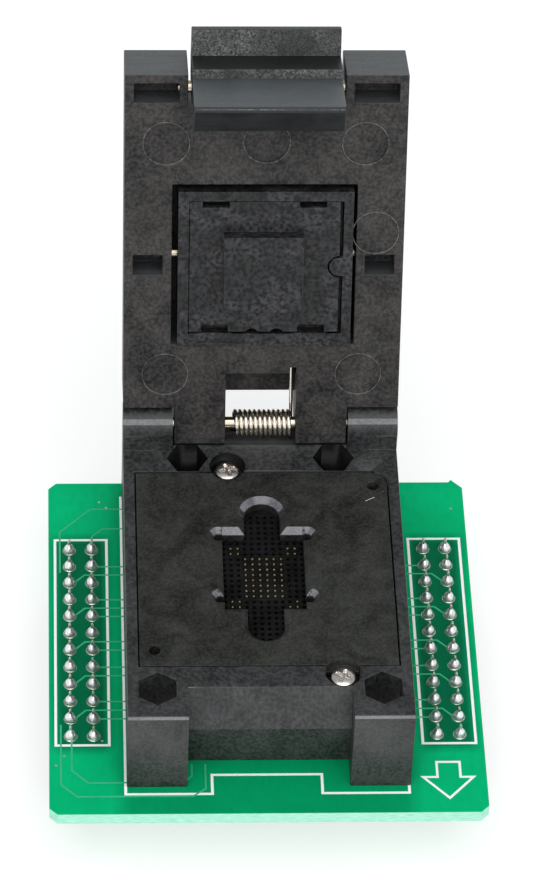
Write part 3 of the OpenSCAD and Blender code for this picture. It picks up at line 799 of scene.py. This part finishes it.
def solder_rows():
    """The solder joints of both headers, each with a seed of its own."""
    for number, side in enumerate(("left", "right")):
        bm = bmesh.new()
        for index, (x, y) in enumerate(header_spots(side)):
            solder_joint(bm, x, y, 100 * number + index + 1)
        add_piece("solder_joints_" + side, bm, "adapter", solder, ["solder_" + side])


def square_ring(place, half, cut, z):
    """The eight corners of a square with its corners cut, at height z above place."""
    corners = [
        (half, -half + cut), (half, half - cut), (half - cut, half), (-half + cut, half),
        (-half, half - cut), (-half, -half + cut), (-half + cut, -half), (half - cut, -half),
    ]
    return [place @ Vector((x, y, z)) for x, y in corners]


def header_contacts(side):
    """Stamped contacts: a sleeve in the housing, and a square tail with a tapered tip above the board."""
    node = "header_contacts_" + side
    low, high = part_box(node)
    sleeve_top = board_bottom - 1.15 * mm
    bore_r, sleeve_r, chamfer_r = 0.42 * mm, 0.8 * mm, 0.74 * mm
    sleeve = [
        (bore_r, low.z), (chamfer_r, low.z), (sleeve_r, low.z + 0.1 * mm), (sleeve_r, sleeve_top),
        (bore_r, sleeve_top),
    ]
    bm = bmesh.new()
    for index, (x, y) in enumerate(header_spots(side)):
        chance = random.Random(index + 7)
        tip = high.z - chance.uniform(0, 0.15) * mm - board_top
        tilt = Matrix.Rotation(math.radians(chance.uniform(-2.5, 2.5)), 4, "X")
        place = at(x, y, board_top) @ tilt
        levels = [
            (tail_half, sleeve_top - board_top), (tail_half, tip - 0.32 * mm),
            (tail_half * 0.85, tip - 0.16 * mm), (tail_half * 0.45, tip),
        ]
        skin(bm, [ring_of(bm, square_ring(place, half, half * 0.35, z)) for half, z in levels])
        hollow_lathe(bm, x, y, sleeve, 20)
    add_piece(node + "_piece", bm, "adapter", tin, [node])


# ---------------------------------------------------------------- screws, pins and contacts


def screw_head(bm, place, radius, height, dome, recess_r):
    """A pan head with a cross recess, as a polar height map over its rim wall."""
    ring_count, segments = 26, 72
    foot_r = radius * 0.97

    def share(value):
        return max(0.0, min(1.0, value))

    def surface(x, y):
        r = math.hypot(x, y)
        z = height - dome * (r / radius) ** 2.4
        across = min(abs(x), abs(y))
        along = max(abs(x), abs(y))
        slot = 0.15 * radius * (1.25 - 0.4 * along / recess_r)
        wall = share((slot - across) / (0.05 * radius))
        end = share((recess_r - along) / (0.22 * recess_r))
        core = share((0.3 * recess_r - r) / (0.1 * recess_r))
        return z - height * 0.55 * max(wall * end, core)

    levels = [ring_of(bm, [place @ Vector((foot_r * c, foot_r * s, 0)) for c, s in circle(segments)])]
    for i in range(ring_count):
        r = radius * (1 - i / ring_count)
        points = [(r * c, r * s) for c, s in circle(segments)]
        levels.append(ring_of(bm, [place @ Vector((x, y, surface(x, y))) for x, y in points]))
    skin(bm, levels)


def screw_shank(bm, place, radius, length, pitch):
    """A shank below the head, with the ridges of its thread."""
    profile = [(radius * 0.6, -length)]
    steps = int(length / pitch * 2)
    for i in range(steps):
        depth = 0.86 if i % 2 else 1.0
        profile.append((radius * depth, -length + (i + 1) * pitch / 2))
    profile.append((radius, 0.02 * mm))
    lathe(bm, profile, place, 24)


def screws(node, centres, head_r, head_h, head_z, shank_r, recess_r, downwards=False):
    """Cross-head screws at centres. Their shanks end where the CAD node does.

    head_z is the height of the face that the head lies on. A downwards screw has its head below it.
    """
    low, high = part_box(node)
    bm = bmesh.new()
    for index, (x, y) in enumerate(centres):
        turn = Matrix.Rotation(math.radians(20 + 47 * index), 4, "Z")
        if downwards:
            place = at(x, y, head_z) @ Matrix.Rotation(math.pi, 4, "X") @ turn
            length = high.z - head_z
        else:
            place = at(x, y, head_z) @ turn
            length = head_z - low.z
        screw_head(bm, place, head_r, head_h, head_h * 0.42, recess_r)
        screw_shank(bm, place, shank_r, length, 0.4 * mm)
    body, slot = body_and_slot(node)
    add_piece(node + "_piece", bm, body, screw_steel, [node], 50)


def cross_pin(node, material):
    """A ground pin along X with chamfered ends, as long and thick as the CAD says."""
    low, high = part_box(node)
    radius = (high.z - low.z) / 2
    middle = (low + high) / 2
    chamfer = radius * 0.3
    half = (high.x - low.x) / 2
    place = Matrix.Translation(middle) @ Matrix.Rotation(math.pi / 2, 4, "Y")
    profile = [
        (radius - chamfer, -half), (radius, chamfer - half),
        (radius, half - chamfer), (radius - chamfer, half),
    ]
    bm = bmesh.new()
    lathe(bm, profile, place, 40)
    body, slot = body_and_slot(node)
    add_piece(node + "_piece", bm, body, material, [node], 30)


def contact_spots():
    """The 63 ball positions: a 6 x 8 field and four in each corner, one of them empty."""
    columns, rows = 10, 12
    spots = []
    for column in range(columns):
        for row in range(rows):
            middle = 2 <= column <= 7 and 2 <= row <= 9
            corner = column in (0, 1, 8, 9) and row in (0, 1, 10, 11) and (column, row) != (8, 1)
            if middle or corner:
                x = (column - (columns - 1) / 2) * contact_pitch
                y = (row - (rows - 1) / 2) * contact_pitch
                spots.append((x, y))
    return spots


def plungers():
    """Contact tips with a four-point crown."""
    low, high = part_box("contact_plungers")
    levels = [
        (plunger_r * 0.8, low.z, 0), (plunger_r, low.z + 0.05 * mm, 0),
        (plunger_r, high.z - 0.3 * mm, 0), (plunger_r * 0.6, high.z - 0.04 * mm, 0.03 * mm),
        (plunger_r * 0.25, high.z - 0.05 * mm, 0.02 * mm),
    ]
    bm = bmesh.new()
    for x, y in contact_spots():
        skin(bm, [
            ring_of(bm, [
                (x + radius * c, y + radius * s, z + tooth * math.cos(math.pi * k / 2))
                for k, (c, s) in enumerate(circle(16))
            ])
            for radius, z, tooth in levels
        ])
    add_piece("contact_plungers_piece", bm, "plungers", gold, ["contact_plungers"])


def pin_one_mark():
    """A sliver of pale paint in the groove at the package pocket's first corner."""
    half, width = 1.2 * mm, 0.2 * mm
    groove_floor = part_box("guide_plate")[1].z - 0.13 * mm
    place = at(11.8 * mm, 10.15 * mm, 0) @ Matrix.Rotation(math.radians(29), 4, "Z")
    points = [place @ Vector((x, 0, 0)) for x in (-half, -half / 3, half / 3, half)]
    bm = bmesh.new()
    ribbon(bm, points, width, groove_floor, 0.03 * mm)
    add_piece("pin_one_mark", bm, "nest", ink)


# ---------------------------------------------------------------- springs


def helix(start, axis, mean_r, wire_r, length, turns):
    """Centreline of a compression spring with one closed turn at each end."""
    per_turn = 20
    axis = axis.normalized()
    side = axis.orthogonal().normalized()
    up = axis.cross(side)
    dead = 2.05 * wire_r
    rise = (length - 2 * wire_r - 2 * dead) / turns
    path = []
    for i in range((turns + 2) * per_turn + 1):
        t = i / per_turn
        height = t * dead if t < 1 else dead + (min(t, turns + 1) - 1) * rise
        if t > turns + 1:
            height += (t - turns - 1) * dead
        angle = 2 * math.pi * t
        out = side * math.cos(angle) + up * math.sin(angle)
        path.append(start + axis * (wire_r + height) + mean_r * out)
    return path


def compression_springs(node, starts, axis, outer_r, wire_r, length, turns):
    """Springs from starts along axis."""
    bm = bmesh.new()
    for start in starts:
        tube(bm, helix(start, axis, outer_r - wire_r, wire_r, length, turns), wire_r, 8)
    body, slot = body_and_slot(node)
    piece = add_piece(node + "_piece", bm, body, wire_steel, [node], 60)
    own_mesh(piece)


def lid_point(x, y, z):
    """A point given in the closed lid's own frame, where the lid stands open."""
    seat_drop = 1.5 * mm
    return hinge + Vector((x + socket_x, 0, 0)) + lid_down * y + lid_up * (z - seat_drop)


def torsion_spring():
    """The coil on the hinge pin, with its left leg down into the base and its right leg straight out from the
    coil.
    """
    low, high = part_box("torsion_spring")
    wire_r = 0.22 * mm
    mean_r = 1.375 * mm
    turns = 11 + 342 / 360
    steps = int(turns * 28)
    left, right = low.x + wire_r, high.x - wire_r
    coil = []
    for i in range(steps + 1):
        share = i / steps
        angle = 2 * math.pi * turns * share
        y = hinge.y + mean_r * math.cos(angle)
        z = hinge.z + mean_r * math.sin(angle)
        coil.append(Vector((left + (right - left) * share, y, z)))
    base_leg = coil[0].z - low.z - wire_r * 0.2
    lid_leg = 8.6 * mm
    ahead = coil[-1] - coil[-2]
    ahead.x = 0
    ahead.normalize()
    start = [coil[0] + Vector((0, 0, -base_leg * k / 6)) for k in range(6, 0, -1)]
    end = [coil[-1] + ahead * (lid_leg * k / 8) for k in range(1, 9)]
    bm = bmesh.new()
    tube(bm, start + coil + end, wire_r, 12)
    wire = add_piece("torsion_spring_wire", bm, "adapter", wire_steel, flat_above=60)
    wire.parent = None
    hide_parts("torsion_spring")
    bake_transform(wire)


# ---------------------------------------------------------------- the build


def build_board():
    """The adapter board with its print, copper, solder and headers."""
    rounded("adapter_board", 0.06 * mm, mask, shortest=0.3 * mm)
    board_print()
    board_traces()
    board_pads()
    solder_rows()
    for side in ("left", "right"):
        header_contacts(side)
        rounded("header_" + side, 0.12 * mm, black_header, shortest=0.3 * mm)


def rear_deck(edge):
    """The edges of the base's rear deck, with its nut pockets."""
    deck_front = half_w = 13.5 * mm
    return all(abs(vert.co.x) < half_w and vert.co.y > deck_front for vert in edge.verts)


def pocket_walls_in_shade(normal, centre):
    """The walls inside the rear nut pockets and the screw well between them, which are given painted shade."""
    front, rear, half_w = 14 * mm, 20 * mm, 13 * mm
    upright = abs(normal.z) < 0.3
    return upright and abs(centre.x) < half_w and front < centre.y < rear and centre.z < base_top


def build_socket():
    """The base with the guide plate, the contacts and the screws that hold it all together."""
    base = rounded("socket_base", 0.09 * mm, black_base, shortest=0.5 * mm, leave=rear_deck)
    # Painted highlight on the faces that slope up towards the front.
    paint_faces(base, nose_highlight, lambda normal, centre: normal.y < -0.6 and normal.z > 0.6)
    # Painted shade: the walls inside the rear nut pockets and the screw well get the near-black pin plate
    # material.
    paint_faces(base, black_plate, pocket_walls_in_shade)
    guide = rounded("guide_plate", 0.07 * mm, black_guide)
    # Painted highlight on the bevels that face up and forward.
    paint_faces(guide, bevel_highlight, lambda normal, centre: 0.45 < normal.z < 0.85 and normal.y < -0.25)
    rounded("mounting_nuts", 0.08 * mm, screw_steel)
    dress("pin_plate", black_plate)
    dress("contact_carrier", black_guide)
    dress("contact_barrels", gold)
    plungers()
    pin_one_mark()
    low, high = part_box("guide_screws")
    head_r, head_h = 1.33 * mm, 0.7 * mm
    screws(
        "guide_screws", [(low.x + head_r, high.y - head_r), (high.x - head_r, low.y + head_r)],
        head_r, head_h, head_z=high.z - head_h, shank_r=0.6 * mm, recess_r=0.95 * mm,
    )
    low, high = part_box("mounting_screws")
    head_r, head_h = 1.9 * mm, 1.3 * mm
    rear_x, front_x = 8.3 * mm, 12.3 * mm
    rear_y, front_y = high.y - head_r, low.y + head_r
    centres = [
        (socket_x + side * x, y)
        for side in (-1, 1) for x, y in ((rear_x, rear_y), (front_x, front_y))
    ]
    screws(
        "mounting_screws", centres,
        head_r, head_h, head_z=board_bottom, shank_r=1.0 * mm, recess_r=1.25 * mm, downwards=True,
    )


def witness_rings():
    """The raised lines that the mould's ejector pins leave round their marks on the lid's inner face, in a paler
    colour that is painted highlight for the light on their edges.
    """
    ring_r, line_r = 2.57 * mm, 0.055 * mm
    marks = ((-11, -35.5), (0.1, -35.7), (11, -35.5), (-10.9, -6.95), (10.9, -6.95), (12.4, -24.6))
    bm = bmesh.new()
    for mark_x, mark_y in marks:
        centre = lid_point(mark_x * mm, mark_y * mm, 0)
        rings = []
        for c, s in circle(48):
            out = Vector((c, 0, 0)) + lid_down * s
            middle = centre + out * ring_r
            rings.append(ring_of(bm, [middle + line_r * (out * a - lid_up * b) for a, b in circle(6)]))
        skin(bm, rings, closed=True)
    add_piece("ejector_witness_rings", bm, "lid", ring_highlight, flat_above=70)


def build_lid():
    """The lid with its pusher, its latch and the three pins."""
    lid = rounded("lid", 0.1 * mm, black)
    # Painted sheen on the lid's end faces.
    paint_faces(lid, lid_end_sheen, lambda normal, centre: abs(normal.dot(lid_down)) > 0.8)
    witness_rings()
    rounded("pusher_frame", 0.07 * mm, black_pusher)
    rounded("pusher_plate", 0.07 * mm, black_pusher)
    latch = rounded("latch", 0.09 * mm, black_latch)
    hook_end = hinge - lid_down * 43 * mm
    paint_faces(
        latch, black_grip,
        lambda normal, centre: normal.dot(-lid_up) > 0.8 and (centre - hook_end).dot(lid_down) < 0,
    )
    # Painted light on the latch arm's outer faces.
    paint_faces(latch, lit_arm_face, lambda normal, centre: normal.dot(-lid_down) > 0.8 and centre.y < 32 * mm)
    for node in ("hinge_pin", "latch_pin", "pusher_pin"):
        cross_pin(node, pin_steel)


def build_springs():
    """The torsion spring, and the springs below the guide plate, behind the pusher and behind the latch."""
    torsion_spring()
    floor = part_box("guide_springs")[0].z
    starts = [Vector((x * mm, y * mm, floor)) for x in (-11.2, 11.2) for y in (-9, 10.5)]
    compression_springs(
        "guide_springs", starts, Vector((0, 0, 1)), outer_r=1.0 * mm, wire_r=0.14 * mm,
        length=4.97 * mm, turns=5,
    )
    pusher_y, reach = -20.6, 6.5
    starts = [
        lid_point(x * mm, (pusher_y + y) * mm, 5.57 * mm) for x in (-reach, reach) for y in (-reach, reach)
    ]
    compression_springs(
        "pusher_springs", starts, -lid_up, outer_r=1.05 * mm, wire_r=0.14 * mm,
        length=2.97 * mm, turns=3,
    )
    starts = [lid_point(x * mm, -36.7 * mm, 4.5 * mm) for x in (-5, 5)]
    compression_springs(
        "latch_springs", starts, -lid_down, outer_r=0.85 * mm, wire_r=0.12 * mm,
        length=3.6 * mm, turns=4,
    )


# ---------------------------------------------------------------- studio


def add_floor():
    """A pale floor that shines a little, so that it comes out almost white."""
    bm = bmesh.new()
    bmesh.ops.create_grid(bm, x_segments=8, y_segments=8, size=3.0)
    floor_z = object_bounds()[0].z
    for vert in bm.verts:
        vert.co.z = floor_z
    mesh = bpy.data.meshes.new("floor")
    bm.to_mesh(mesh)
    bm.free()
    look = Look("floor_look", roughness=0.9, specular=0.1)
    look.colour(look.mix(look.noise(0.2), (0.5, 0.5, 0.5), (0.52, 0.52, 0.52)))
    look.shader.inputs["Emission Color"].default_value = (1.0, 1.0, 1.0, 1.0)
    look.shader.inputs["Emission Strength"].default_value = 0.6
    mesh.materials.append(look.material)
    floor = bpy.data.objects.new("floor", mesh)
    scene.collection.objects.link(floor)


def add_light(name, place, target, size, power):
    """A rectangular lamp at a place, turned to its target."""
    data = bpy.data.lights.new(name, "AREA")
    data.shape = "RECTANGLE"
    data.size, data.size_y = size
    data.energy = power
    lamp = bpy.data.objects.new(name, data)
    lamp.location = place
    lamp.rotation_euler = (Vector(target) - Vector(place)).to_track_quat("-Z", "Y").to_euler()
    scene.collection.objects.link(lamp)


def add_studio():
    """A pale room: bright near the horizon and dimmer above, with one large soft lamp above the front."""
    world = bpy.data.worlds.new("studio")
    world.use_nodes = True
    scene.world = world
    nodes, links = world.node_tree.nodes, world.node_tree.links
    split = nodes.new("ShaderNodeSeparateXYZ")
    links.new(nodes.new("ShaderNodeTexCoord").outputs["Generated"], split.inputs["Vector"])
    fade = nodes.new("ShaderNodeMapRange")
    links.new(split.outputs["Z"], fade.inputs["Value"])
    fade.inputs["From Min"].default_value = 0.3
    fade.inputs["From Max"].default_value = 0.65
    fade.inputs["To Min"].default_value = 1.0
    fade.inputs["To Max"].default_value = 0.4
    background = nodes["Background"]
    links.new(fade.outputs["Result"], background.inputs["Strength"])
    background.inputs["Color"].default_value = (0.95, 1.0, 1.02, 1.0)
    add_light("key", (0.0, -0.44, 0.68), (0, 0, 0.01), (0.9, 1.0), 5.6)
    scene.view_settings.view_transform = "Standard"


def add_camera():
    """The view: 46 degrees down, a little from the left, with a long lens."""
    pitch, yaw, roll = (math.radians(angle) for angle in (45.954, 3.865, 2.604))
    ahead = Vector((math.sin(yaw) * math.cos(pitch), math.cos(yaw) * math.cos(pitch), -math.sin(pitch)))
    level = Vector((math.cos(yaw), -math.sin(yaw), 0))
    over = level.cross(ahead)
    right = level * math.cos(roll) + over * math.sin(roll)
    up = right.cross(ahead)
    camera = bpy.data.objects.new("camera", bpy.data.cameras.new("camera"))
    turn = Matrix((right, up, -ahead)).transposed()
    camera.matrix_world = Matrix.Translation(Vector((-24.16, -355.61, 391.29)) * mm) @ turn.to_4x4()
    camera.data.sensor_width = 36.0
    camera.data.lens = 195.88
    camera.data.clip_start = 0.01
    camera.data.clip_end = 10.0
    scene.collection.objects.link(camera)
    scene.camera = camera


build_board()
build_socket()
build_lid()
build_springs()
add_floor()
add_studio()
add_camera()
